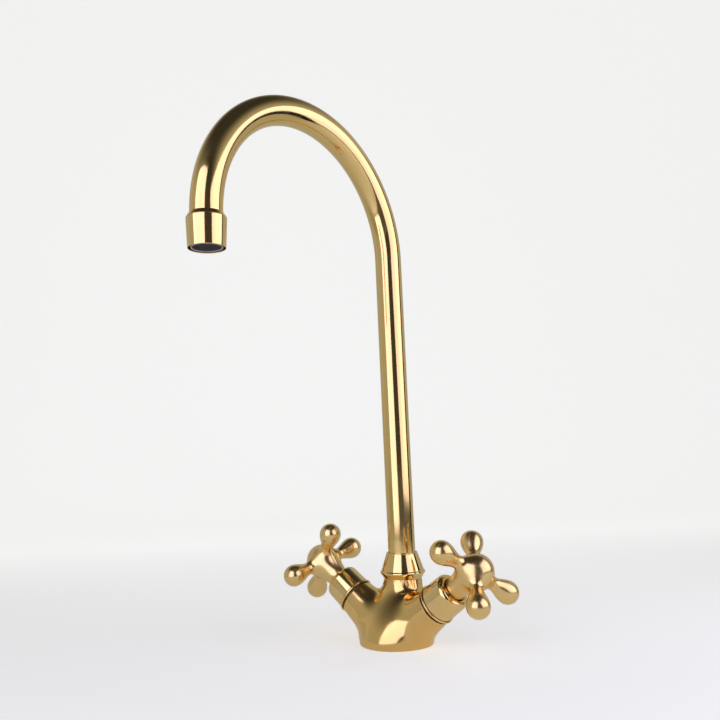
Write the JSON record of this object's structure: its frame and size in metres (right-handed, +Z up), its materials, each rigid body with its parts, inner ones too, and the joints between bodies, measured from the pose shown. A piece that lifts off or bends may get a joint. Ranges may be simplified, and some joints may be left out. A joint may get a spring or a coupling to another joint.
{
  "type": "two-handle basin mixer tap",
  "caption": "Deck-mounted basin mixer in polished brass: angled arms with cross handles on quarter-turn ceramic valves, and a tall swivelling swan-neck spout with aerator.",
  "frame": {"origin": "centre of the round foot's flat underside, which stands on the basin", "axes": "+Z up along the spout's riser, -Y towards the user (the spout's reach at rest), +X towards the right-hand (cold) handle"},
  "size_m": [0.1641, 0.193, 0.343],
  "materials": {
    "polished_brass": "polished to a mirror, unlacquered",
    "machined_brass": "as machined",
    "black_rubber": "matt",
    "white_ceramic": "lapped flat",
    "white_acetal": "matt",
    "grey_plastic": "satin",
    "stainless_steel": "satin",
    "steel_mesh": "fine woven mesh"
  },
  "bodies": {
    "mixer_body": {"body": "polished_brass", "base_gasket": "black_rubber", "spout_nut": "polished_brass", "slip_washer": "white_acetal", "left_shroud": "polished_brass", "left_valve_body": "machined_brass", "left_valve_oring": "black_rubber", "left_valve_seal": "black_rubber", "left_fixed_disc": "white_ceramic", "left_thrust_washer": "white_acetal", "right_shroud": "polished_brass", "right_valve_body": "machined_brass", "right_valve_oring": "black_rubber", "right_valve_seal": "black_rubber", "right_fixed_disc": "white_ceramic", "right_thrust_washer": "white_acetal"},
    "spout": {"spout_tube": "polished_brass", "spout_sleeve": "machined_brass", "spout_oring_lower": "black_rubber", "spout_oring_upper": "black_rubber", "outlet_collar": "polished_brass", "aerator_housing": "polished_brass", "aerator_washer": "black_rubber", "aerator_insert": "grey_plastic", "aerator_mesh": "steel_mesh"},
    "left_handle_set": {"left_handle": "polished_brass", "left_handle_screw": "stainless_steel", "left_moving_disc": "white_ceramic", "left_spindle": "machined_brass", "left_spindle_oring": "black_rubber", "left_spindle_clip": "stainless_steel"},
    "right_handle_set": {"right_handle": "polished_brass", "right_handle_screw": "stainless_steel", "right_moving_disc": "white_ceramic", "right_spindle": "machined_brass", "right_spindle_oring": "black_rubber", "right_spindle_clip": "stainless_steel"}
  },
  "joints": [
    {"name": "spout_swivel", "type": "hinge", "parent": "mixer_body", "child": "spout", "pos_m": [0, 0.01, 0.048], "axis": [0, 0, 1], "continuous": true},
    {"name": "left_handle_turn", "type": "hinge", "parent": "mixer_body", "child": "left_handle_set", "pos_m": [-0.03256, 0, 0.02664], "axis": [-0.808, 0, 0.5892], "range_deg": [0, 90]},
    {"name": "right_handle_turn", "type": "hinge", "parent": "mixer_body", "child": "right_handle_set", "pos_m": [0.03256, 0, 0.02664], "axis": [0.808, 0, 0.5892], "range_deg": [-90, 0]}
  ]
}
